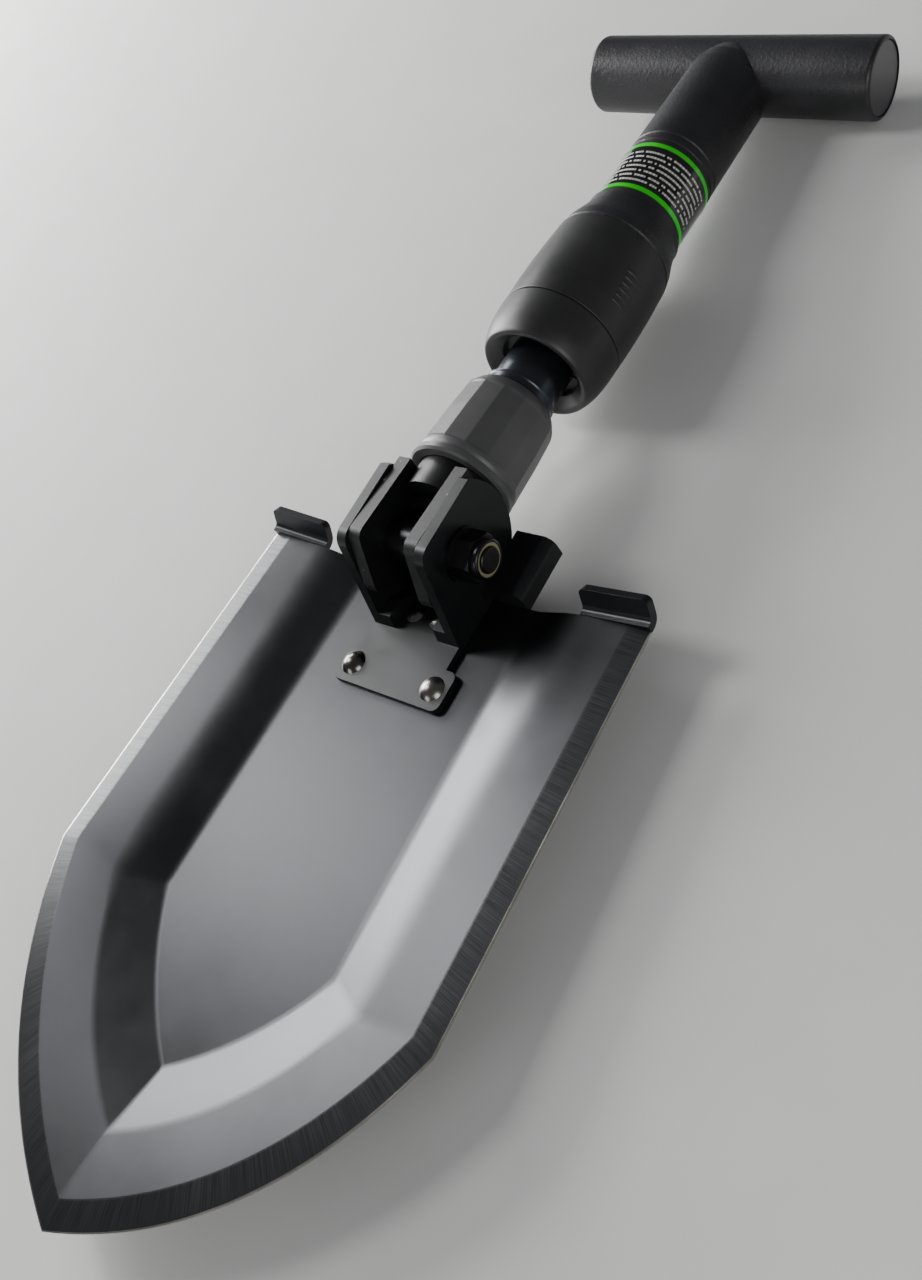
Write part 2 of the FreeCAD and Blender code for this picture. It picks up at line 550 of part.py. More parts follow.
def make_shell():
    """Moulded handle: flare, stepped neck, label seat, stem and hollow T bar."""
    prof = [(0, shell_low), (COLLAR_END_R - 0.5, shell_low), (COLLAR_END_R, shell_low + 0.5)]
    prof += [(COLLAR_END_R - 0.7, shell_low + 4.0), (COLLAR_END_R - 2.2, shell_low + 8.5)]
    prof += [(NECK_RING_R, FLARE_END_Y), (NECK_RING_R, FLARE_END_Y + 2.4), (STEM_R, FLARE_END_Y + 2.8)]
    prof += [(STEM_R, stripe_low), (NECK_R, stripe_low), (NECK_R, stripe_high), (STEM_R, stripe_high)]
    prof += [(STEM_R, stripe_high + 1.6), (STEM_R - 0.5, stripe_high + 2.0), (STEM_R - 0.5, stripe_high + 2.6)]
    prof += [(STEM_R, stripe_high + 3.0), (STEM_R, stripe_high + 5.0), (STEM_R - 0.5, stripe_high + 5.4)]
    prof += [(STEM_R - 0.5, stripe_high + 6.0), (STEM_R - 0.1, stripe_high + 6.4)]
    prof += [(STEM_TOP_R, BAR_Y - 9.0), (STEM_TOP_R - 0.6, BAR_Y - 4.5), (STEM_TOP_R - 2.0, BAR_Y), (STEM_TOP_R - 4.5, BAR_Y + 4.0)]
    prof += [(0, BAR_Y + 4.0)]
    stem = revolve(prof)
    bar = rod(BAR_R, V(-BAR_HALF, BAR_Y, 0), V(1, 0, 0), 2 * BAR_HALF)
    shell = stem.fuse(bar).removeSplitter()
    shell = blended(shell)
    shell = fillet(shell, BAR_EDGE, lambda e: abs(abs(e.BoundBox.XMax) - BAR_HALF) < 0.01 and e.BoundBox.XLength < 0.01)
    inside = rod(OUTER_TUBE_R, V(0, shell_low - 1, 0), V(0, 1, 0), tube_high - shell_low + 1)
    hollow = rod(BAR_BORE_R, V(-BAR_HALF - 1, BAR_Y, 0), V(1, 0, 0), 2 * BAR_HALF + 2)
    seat_a = rod(CAP_R, V(BAR_HALF - CAP_THICK - CAP_INSET, BAR_Y, 0), V(1, 0, 0), 5)
    seat_b = rod(CAP_R, V(-BAR_HALF + CAP_THICK + CAP_INSET, BAR_Y, 0), V(-1, 0, 0), 5)
    shell = shell.cut(inside.fuse([hollow, seat_a, seat_b]))
    return shell.cut(screw_space(0.0))


def blended(shell):
    """Round the corner between stem and bar where the geometry allows it."""
    try:
        soft = fillet(shell, BAR_BLEND, is_saddle)
        return soft if soft.isValid() and len(soft.Solids) == 1 else shell
    except Exception:
        return shell


def is_saddle(edge):
    """The curve where the stem runs into the bar."""
    b = edge.BoundBox
    return b.YMin > BAR_Y - BAR_R - 1 and b.YMax < BAR_Y and max(abs(b.XMin), abs(b.XMax)) < STEM_TOP_R + 1


def screw_space(gap):
    return rod(2.0 + gap, V(0, BAR_Y - 46.0, -OUTER_TUBE_R + 0.9), V(0, 0, -1), 8)


parts["handle_shell"] = from_handle(make_shell())
sleeve = ring(OUTER_TUBE_R - OUTER_TUBE_WALL, OUTER_TUBE_R, tube_low, tube_high)
parts["outer_tube"] = from_handle(sleeve.cut(screw_space(0.0)))
screw = rod(2.0, V(0, BAR_Y - 46.0, -OUTER_TUBE_R + 0.9), V(0, 0, -1), 3.2)
parts["handle_screw"] = from_handle(screw)
collet = ring(TUBE_R + RUN, OUTER_TUBE_R, core_low + 0.6, tube_low)
for i in range(3):
    slot = box(-0.6, 0.6, core_low - 1, tube_low - 3.0, 0, 20)
    slot.rotate(V(0, 0, 0), V(0, 1, 0), 120 * i)
    collet = collet.cut(slot)
parts["lock_collet"] = from_shaft(collet)
parts["retaining_ring"] = from_shaft(ring(OUTER_TUBE_R, OUTER_TUBE_R + 1.4, COLLAR_JOIN_Y + 3.2, COLLAR_JOIN_Y + 4.8))
parts["label_band"] = from_shaft(ring(NECK_R, LABEL_R, STRIPE_LOW_Y + STRIPE_WIDTH / 2, STRIPE_HIGH_Y - STRIPE_WIDTH / 2))
stripes = []
for y in (STRIPE_LOW_Y, STRIPE_HIGH_Y):
    stripes.append(ring(NECK_R, STRIPE_R, y - STRIPE_WIDTH / 2, y + STRIPE_WIDTH / 2))
parts["band_stripes"] = from_shaft(Part.makeCompound(stripes))


def make_cap():
    face_x = BAR_HALF - CAP_INSET
    disc = rod(CAP_R, V(face_x - CAP_THICK, BAR_Y, 0), V(1, 0, 0), CAP_THICK)
    disc = fillet(disc, 0.5, lambda e: e.BoundBox.XMin > face_x - 0.1)
    spigot = rod(BAR_BORE_R, V(face_x - CAP_THICK - 9, BAR_Y, 0), V(1, 0, 0), 9)
    spigot = spigot.cut(rod(BAR_BORE_R - 1.6, V(face_x - CAP_THICK - 10, BAR_Y, 0), V(1, 0, 0), 10))
    return disc.fuse(spigot).removeSplitter()


cap = make_cap()
parts["end_cap_right"] = from_handle(cap)
parts["end_cap_left"] = from_handle(mirrored(cap))

# ---------------- write every node ----------------
os.makedirs("parts", exist_ok=True)
for name, shape in parts.items():
    shape.translate(V(0, -Y_MID, -Z_LOW))
    shape.exportStep("parts/" + name + ".step")
    good = shape.isValid() and all(s.isClosed() for s in shape.Solids)
    print(name, len(shape.Solids), "volume", round(shape.Volume, 1), "ok" if good else "BAD")
print("row shift y", -Y_MID, "z", -Z_LOW)
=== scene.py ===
"""Looks of a folding, telescoping camp shovel with a T handle."""
import json
import logging
import math
from dataclasses import dataclass, field
from enum import Enum
from typing import Any, Callable, Sequence

import bpy
import numpy as np
from mathutils import Matrix, Vector


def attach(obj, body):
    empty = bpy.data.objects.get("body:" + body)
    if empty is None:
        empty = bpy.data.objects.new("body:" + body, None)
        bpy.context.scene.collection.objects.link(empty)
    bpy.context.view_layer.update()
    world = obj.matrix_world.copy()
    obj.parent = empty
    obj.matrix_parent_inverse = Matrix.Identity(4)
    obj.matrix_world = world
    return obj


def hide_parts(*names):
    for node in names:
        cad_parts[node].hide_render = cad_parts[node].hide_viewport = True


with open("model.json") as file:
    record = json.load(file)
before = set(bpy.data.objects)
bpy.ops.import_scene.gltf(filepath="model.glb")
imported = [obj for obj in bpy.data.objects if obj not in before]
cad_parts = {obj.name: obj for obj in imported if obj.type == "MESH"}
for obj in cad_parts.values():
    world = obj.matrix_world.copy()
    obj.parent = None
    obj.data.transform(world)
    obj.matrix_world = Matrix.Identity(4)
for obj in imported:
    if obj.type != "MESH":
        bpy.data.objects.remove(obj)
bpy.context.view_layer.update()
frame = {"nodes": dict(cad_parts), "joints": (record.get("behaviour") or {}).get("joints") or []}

log = logging.getLogger("shovel")
MM = 0.001
IMAGE = (922, 1280)
Grid = np.ndarray


# ---------------------------------------------------------------- colour and nodes
def linear(code: str) -> tuple[float, float, float, float]:
    """Turn an sRGB hex colour into linear RGBA.

    Args:
        code: six hex digits, such as "2b2d2f".

    Returns:
        Red, green, blue and an alpha of one, by the sRGB curve.
    """
    raw = np.array([int(code[i:i + 2], 16) for i in (0, 2, 4)]) / 255.0
    out = np.where(raw <= 0.04045, raw / 12.92, ((raw + 0.055) / 1.055) ** 2.4)
    return (float(out[0]), float(out[1]), float(out[2]), 1.0)


def add(tree: bpy.types.NodeTree, kind: str, inputs: dict[Any, Any] | None = None, **settings: Any) -> bpy.types.Node:
    """Add one shader node with its settings, constants and links.

    Args:
        tree: the material's node tree.
        kind: the node's type name, without the ShaderNode prefix.
        inputs: socket name or number to a constant, or to the output socket that feeds it.
        settings: the node's own properties.

    Returns:
        The new node.
    """
    made = tree.nodes.new("ShaderNode" + kind)
    for key, value in settings.items():
        setattr(made, key, value)
    for key, value in (inputs or {}).items():
        if isinstance(value, bpy.types.NodeSocket):
            tree.links.new(value, made.inputs[key])
        else:
            made.inputs[key].default_value = value
    return made


def ramp(tree: bpy.types.NodeTree, source: bpy.types.NodeSocket, stops: Sequence[tuple[float, str]]) -> bpy.types.NodeSocket:
    """Colour a value by stops of position and sRGB hex; returns the colour socket."""
    made = add(tree, "ValToRGB", {"Fac": source})
    band = made.color_ramp
    while len(band.elements) < len(stops):
        band.elements.new(0.5)
    for element, (place, code) in zip(band.elements, stops):
        element.position = place
        element.color = linear(code)
    return made.outputs["Color"]


class Texture(Enum):
    """What a surface's fine relief is made of."""

    POWDER = "powder coat"
    GRAIN = "leather grain"
    CAST = "fine cast skin"
    TURNED = "turned or drawn metal"
    RUBBER = "soft-touch rubber"
    SMOOTH = "smooth moulding"


@dataclass(frozen=True)
class Finish:
    """One finish: colours, base values and a relief with a real feature size.

    Attributes:
        name: real material and process.
        light: the lighter sRGB hex of the mottling.
        dark: the darker sRGB hex of the mottling.
        rough: mean roughness.
        metal: metallic value.
        texture: the relief's kind.
        size_mm: width of one feature of the relief.
        depth_mm: height of the relief.
        coat: clear coat weight.
        spread: how far the roughness wanders either side of its mean.
    """

    name: str
    light: str
    dark: str
    rough: float
    metal: float
    texture: Texture
    size_mm: float
    depth_mm: float
    coat: float = 0.0
    spread: float = 0.06

    def height(self, tree: bpy.types.NodeTree, place: bpy.types.NodeSocket) -> bpy.types.NodeSocket:
        """Relief height as a 0 to 1 value: cells for grain, stretched noise for turned metal, plain noise otherwise.

        Args:
            tree: the material's node tree.
            place: Object coordinates in metres.

        Returns:
            The socket that carries the height.
        """
        scale = 1.0 / (self.size_mm * MM)
        if self.texture is Texture.GRAIN:
            warp = add(tree, "TexNoise", {"Vector": place, "Scale": scale * 0.6, "Detail": 2.0})
            bent = add(tree, "MixRGB", {"Fac": 0.0006, 1: place, 2: warp.outputs["Color"]}, blend_type="ADD")
            cells = add(tree, "TexVoronoi", {"Vector": bent.outputs[0], "Scale": scale}, feature="SMOOTH_F1")
            fine = add(tree, "TexNoise", {"Vector": place, "Scale": scale * 2.7, "Detail": 3.0})
            both = add(tree, "Math", {0: cells.outputs["Distance"], 1: fine.outputs[0]}, operation="MULTIPLY_ADD")
            both.inputs[2].default_value = 0.25
            return both.outputs[0]
        if self.texture is Texture.TURNED:
            long = add(tree, "Mapping", {"Vector": place, "Scale": (scale * 0.02, scale, scale * 0.02)})
            return add(tree, "TexNoise", {"Vector": long.outputs[0], "Scale": 1.0, "Detail": 4.0}).outputs[0]
        detail = 5.0 if self.texture is Texture.CAST else 2.0
        return add(tree, "TexNoise", {"Vector": place, "Scale": scale, "Detail": detail, "Roughness": 0.55}).outputs[0]

    def build(self, extra: Callable[..., None] | None = None) -> bpy.types.Material:
        """Make the material.

        Args:
            extra: called with the tree, the shader, the place socket and the colour socket to add wear.

        Returns:
            The finished material.
        """
        mat = bpy.data.materials.new(self.name.replace(" ", "_"))
        mat.use_nodes = True
        tree = mat.node_tree
        tree.nodes.clear()
        place = add(tree, "TexCoord").outputs["Object"]
        blotch = add(tree, "TexNoise", {"Vector": place, "Scale": 45.0, "Detail": 5.0, "Roughness": 0.6})
        tone = ramp(tree, blotch.outputs[0], ((0.32, self.dark), (0.68, self.light)))
        gloss = add(tree, "MapRange", {"Value": blotch.outputs[0], "From Min": 0.3, "From Max": 0.7})
        gloss.inputs["To Min"].default_value = max(0.03, self.rough - self.spread)
        gloss.inputs["To Max"].default_value = min(1.0, self.rough + self.spread)
        relief = self.height(tree, place)
        bump = add(tree, "Bump", {"Height": relief, "Strength": 1.0, "Distance": self.depth_mm * MM})
        shader = add(tree, "BsdfPrincipled", {"Base Color": tone, "Roughness": gloss.outputs[0], "Metallic": self.metal,
                                              "Normal": bump.outputs[0]})
        shader.inputs["Coat Weight"].default_value = self.coat
        shader.inputs["Coat Roughness"].default_value = 0.12
        if extra:
            extra(tree, shader, place, tone)
        add(tree, "OutputMaterial", {"Surface": shader.outputs[0]})
        return mat


# Dark gunmetal powder coat on stamped steel: satin, with a fine orange peel.
BLADE_COAT = Finish("powder_coat_gunmetal", "3b3c3e", "353638", 0.33, 0.9, Texture.POWDER, 0.5, 0.007, spread=0.03)
# Semi-gloss black powder coat on the bent hinge plates.
HINGE_COAT = Finish("powder_coat_black", "1d1e20", "151618", 0.34, 0.3, Texture.POWDER, 0.5, 0.010)
# Black paint over sand-cast steel, worn where the ears rub.
FORK_PAINT = Finish("painted_cast_steel", "18191a", "101112", 0.42, 0.2, Texture.CAST, 0.9, 0.05)
# Grey paint on the die-cast locking nut.
NUT_PAINT = Finish("painted_die_casting_grey", "5a5a5b", "4e4e4f", 0.42, 0.25, Texture.CAST, 0.45, 0.012)
# Bare steel rivets, domed by a press and lightly oiled.
RIVET_STEEL = Finish("pressed_steel_rivet", "8b8985", "5e5c58", 0.27, 1.0, Texture.CAST, 1.2, 0.02)
# Black zinc plate on bolt, nut and washers.
BLACK_ZINC = Finish("black_zinc_plate", "3a3a3d", "29292b", 0.3, 0.85, Texture.TURNED, 0.35, 0.006)
# Black oxide on the polished inner tube.
TUBE_OXIDE = Finish("black_oxide_tube", "4a4e55", "3e4248", 0.28, 0.9, Texture.TURNED, 0.3, 0.003, spread=0.04)
# Soft-touch rubber moulded over the twist collar.
GRIP_RUBBER = Finish("soft_touch_rubber", "2a2a2b", "222223", 0.44, 0.0, Texture.RUBBER, 0.35, 0.010)
# Glass-filled nylon with a moulded leather grain.
GRAIN_NYLON = Finish("grained_nylon", "27272a", "1e1e20", 0.42, 0.0, Texture.GRAIN, 1.1, 0.13)
# Smooth grey nylon caps.
CAP_NYLON = Finish("smooth_grey_nylon", "454548", "3c3c3f", 0.42, 0.0, Texture.SMOOTH, 2.0, 0.01)
# Gloss-laminated printed sleeve.
BAND_FILM = Finish("gloss_black_film", "0c0c0d", "080809", 0.14, 0.0, Texture.SMOOTH, 4.0, 0.004, coat=0.6, spread=0.03)
GREEN_FILM = Finish("gloss_green_film", "22d616", "1cc412", 0.2, 0.0, Texture.SMOOTH, 4.0, 0.003, coat=0.5, spread=0.03)
WHITE_INK = Finish("white_screen_ink", "d9d9d4", "c9c9c4", 0.4, 0.0, Texture.SMOOTH, 0.6, 0.004)
# Locking insert of the hinge nut.
INSERT_NYLON = Finish("natural_nylon_insert", "8f8f6a", "7c7b58", 0.4, 0.0, Texture.SMOOTH, 0.8, 0.01)
INNER_PLASTIC = Finish("plain_black_moulding", "1b1b1c", "141415", 0.5, 0.0, Texture.SMOOTH, 0.8, 0.01)
BRASS = Finish("blackened_brass", "3a3630", "2c2925", 0.3, 1.0, Texture.TURNED, 0.3, 0.006)
DRAWN_ALLOY = Finish("drawn_aluminium", "a8a9ab", "909193", 0.35, 1.0, Texture.TURNED, 0.3, 0.006)
# Steel bared by the grinding wheel along the cutting edge.
GROUND_STEEL = Finish("ground_steel_edge", "d6d4cc", "a9a79f", 0.24, 1.0, Texture.TURNED, 0.25, 0.01)


def chips(amount: float, colour: str) -> Callable[..., None]:
    """Wear that bares metal in small ragged chips.

    Args:
        amount: threshold on the chip noise, lower is more worn.
        colour: sRGB hex of what shows in a chip.

    Returns:
        A function that adds the wear to a finish.
    """

    def wear(tree: bpy.types.NodeTree, shader: bpy.types.Node, place: bpy.types.NodeSocket,
             tone: bpy.types.NodeSocket) -> None:
        """Mix bare metal into colour and metallic where sharp-edged noise is high."""
        big = add(tree, "TexNoise", {"Vector": place, "Scale": 210.0, "Detail": 9.0, "Roughness": 0.72})
        mask = add(tree, "MapRange", {"Value": big.outputs[0], "From Min": amount, "From Max": amount + 0.015})
        mix = add(tree, "MixRGB", {"Fac": mask.outputs[0], 1: tone, 2: linear(colour)})
        tree.links.new(mix.outputs[0], shader.inputs["Base Color"])

    return wear


def ground_band(tree: bpy.types.NodeTree, shader: bpy.types.Node, place: bpy.types.NodeSocket,
                tone: bpy.types.NodeSocket) -> None:
    """Grinding marks across the bevel: noise squeezed along the edge, masked by the blade's own attribute."""
    zone = add(tree, "Attribute", attribute_name="ground").outputs["Fac"]
    uv = add(tree, "UVMap", uv_map="along_across").outputs[0]
    squeezed = add(tree, "Mapping", {"Vector": uv, "Scale": (2600.0, 60.0, 1.0)})
    marks = add(tree, "TexNoise", {"Vector": squeezed.outputs[0], "Scale": 1.0, "Detail": 3.0})
    bright = ramp(tree, marks.outputs[0], ((0.35, "3a3b3c"), (0.65, "4c4d4e")))
    pale = add(tree, "MixRGB", {"Fac": zone, 1: tone, 2: bright})
    tree.links.new(pale.outputs[0], shader.inputs["Base Color"])
    old = shader.inputs["Normal"].links[0].from_socket
    share = add(tree, "Math", {0: marks.outputs[0], 1: zone}, operation="MULTIPLY")
    cut = add(tree, "Bump", {"Height": share.outputs[0], "Strength": 1.0, "Distance": 0.02 * MM, "Normal": old})
    tree.links.new(cut.outputs[0], shader.inputs["Normal"])


# ---------------------------------------------------------------- meshes
def build_mesh(name: str, points: Grid, faces: Grid, body: str, mats: Sequence[bpy.types.Material],
               smooth: float = 32.0, slots: Grid | None = None) -> bpy.types.Object:
    """Put a whole-array surface into a new object that rides on a body.

    Args:
        name: the piece's name.
        points: vertices in metres, one row each.
        faces: four vertex numbers per row.
        body: the CAD body it moves with.
        mats: the materials, in slot order.
        smooth: edges turning more than this many degrees stay sharp.
        slots: material number per face.

    Returns:
        The new object.
    """
    mesh = bpy.data.meshes.new(name)
    mesh.from_pydata(points.reshape(-1, 3).tolist(), [], faces.reshape(-1, 4).tolist())
    for mat in mats:
        mesh.materials.append(mat)
    mesh.polygons.foreach_set("use_smooth", np.ones(len(mesh.polygons), dtype=bool))
    if slots is not None:
        mesh.polygons.foreach_set("material_index", slots.astype(np.int32))
    mesh.update()
    piece = bpy.data.objects.new(name, mesh)
    bpy.context.scene.collection.objects.link(piece)
    mesh.set_sharp_from_angle(angle=math.radians(smooth))
    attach(piece, body)
    log.info("%s: %d faces on %s", name, len(mesh.polygons), body)
    return piece


def quads(rows: int, cols: int, wrap_rows: bool = False, wrap_cols: bool = False, first: int = 0) -> Grid:
    """Faces of a grid of vertices, row by row.

    Args:
        rows: number of vertex rows.
        cols: number of vertices per row.
        wrap_rows: join the last row to the first.
        wrap_cols: join the last column to the first.
        first: number of the grid's first vertex.

    Returns:
        Four vertex numbers per face, ordered row, next column, next row.
    """
    r = np.arange(rows if wrap_rows else rows - 1)[:, None]
    c = np.arange(cols if wrap_cols else cols - 1)[None, :]
    r2, c2 = (r + 1) % rows, (c + 1) % cols
    corners = np.stack([r * cols + c, r * cols + c2, r2 * cols + c2, r2 * cols + c], axis=-1)
    return corners.reshape(-1, 4) + first


def soften(corners: Sequence[Sequence[float]], radii: Sequence[float], steps: int = 5) -> Grid:
    """Round a closed profile: each corner becomes a quadratic curve from a point before it to a point after it.

    Args:
        corners: the sharp profile, any number of coordinates per corner.
        radii: how far along each neighbouring side the curve starts.
        steps: points per rounded corner.

    Returns:
        The rounded profile.
    """
    p = np.asarray(corners, dtype=float)
    before, after = np.roll(p, 1, axis=0) - p, np.roll(p, -1, axis=0) - p
    reach = np.asarray(radii, dtype=float)[:, None]
    la, lb = (np.linalg.norm(v, axis=1, keepdims=True) for v in (before, after))
    a = p + before / la * np.minimum(reach, la * 0.48)
    b = p + after / lb * np.minimum(reach, lb * 0.48)
    t = np.linspace(0.0, 1.0, steps)[None, :, None]
    curve = (1 - t) ** 2 * a[:, None] + 2 * t * (1 - t) * p[:, None] + t ** 2 * b[:, None]
    return curve.reshape(-1, p.shape[1])


@dataclass(frozen=True)
class Shaft:
    """The shaft's axis in the row frame, from the hinge pin towards the T handle.

    Attributes:
        lean: angle of the axis below +Y, in degrees.
        pin: the hinge pin's place in metres.
    """

    lean: float
    pin: tuple[float, float, float]

    def place(self, x: Grid, along: Grid, up: Grid) -> Grid:
        """Turn millimetres across, along and above the axis into row-frame metres.

        Args:
            x: across, along the hinge pin.
            along: distance from the pin along the axis.
            up: out of the blade's front face.

        Returns:
            Points with a last axis of three.
        """
        a = math.radians(self.lean)
        y = along * math.cos(a) + up * math.sin(a)
        z = up * math.cos(a) - along * math.sin(a)
        return np.stack(np.broadcast_arrays(x, y, z), axis=-1) * MM + np.array(self.pin)

    def lathe(self, name: str, profile: Grid, body: str, mat: bpy.types.Material, steps: int = 160,
              shape: Callable[[Grid, Grid, Grid], Grid] | None = None, smooth: float = 32.0) -> bpy.types.Object:
        """Turn a closed profile about the axis, so radius r at angle t sits at (r sin t, r cos t).

        Args:
            name: the piece's name.
            profile: closed (radius, along) points in millimetres.
            body: the CAD body it moves with.
            mat: its material.
            steps: points around.
            shape: changes the radius from arrays of radius, along and angle.
            smooth: sharp edge limit in degrees.

        Returns:
            The new object.
        """
        t = np.linspace(0.0, 2 * math.pi, steps, endpoint=False)[None, :]
        r, along = profile[:, :1] + 0 * t, profile[:, 1:] + 0 * t
        if shape is not None:
            r = shape(r, along, t)
        points = self.place(r * np.sin(t), along, r * np.cos(t))
        return build_mesh(name, points, quads(len(profile), steps, True, True)[:, ::-1], body, [mat], smooth)


joint = next(j for j in frame["joints"] if j["name"] == "blade_fold")
slide = next(j for j in frame["joints"] if j["name"] == "handle_slide")
PIN = tuple(joint["pos_m"])
SHAFT = Shaft(math.degrees(math.atan2(-slide["axis"][2], slide["axis"][1])), PIN)


# ---------------------------------------------------------------- blade
@dataclass(frozen=True)
class Loop:
    """One outline of the blade: a side line and a bulged tip edge, mirrored about the middle.

    Attributes:
        top: half width at the top edge.
        shoulder: half width at the shoulder.
        shoulder_y: the shoulder's place along the blade.
        tip_y: the tip's place along the blade.
        sag: bulge of the tip edge off its chord.
        front: height of the front surface at the top edge, the shoulder and the tip.
    """

    top: float
    shoulder: float
    shoulder_y: float
    tip_y: float
    sag: float
    front: tuple[float, float, float]

    def half(self, side: int, tip: int) -> Grid:
        """Right half from the top edge round to the tip.

        The side is a straight line; the tip edge is its chord plus sag times 4t(1-t) along the outward normal.

        Args:
            side: points on the straight side.
            tip: points on the tip edge.

        Returns:
            (x, y, z) rows in millimetres.
        """
        a, b, c = (np.array(q) for q in ((self.top, 0.0, self.front[0]), (self.shoulder, self.shoulder_y, self.front[1]),
                                         (0.0, self.tip_y, self.front[2])))
        s = np.linspace(0, 1, side, endpoint=False)[:, None]
        t = np.linspace(0, 1, tip)[:, None]
        chord = c - b
        normal = np.array([-chord[1], chord[0], 0.0]) / max(np.hypot(chord[0], chord[1]), 1e-9)
        return np.vstack([a + (b - a) * s, b + chord * t + normal * self.sag * 4 * t * (1 - t)])


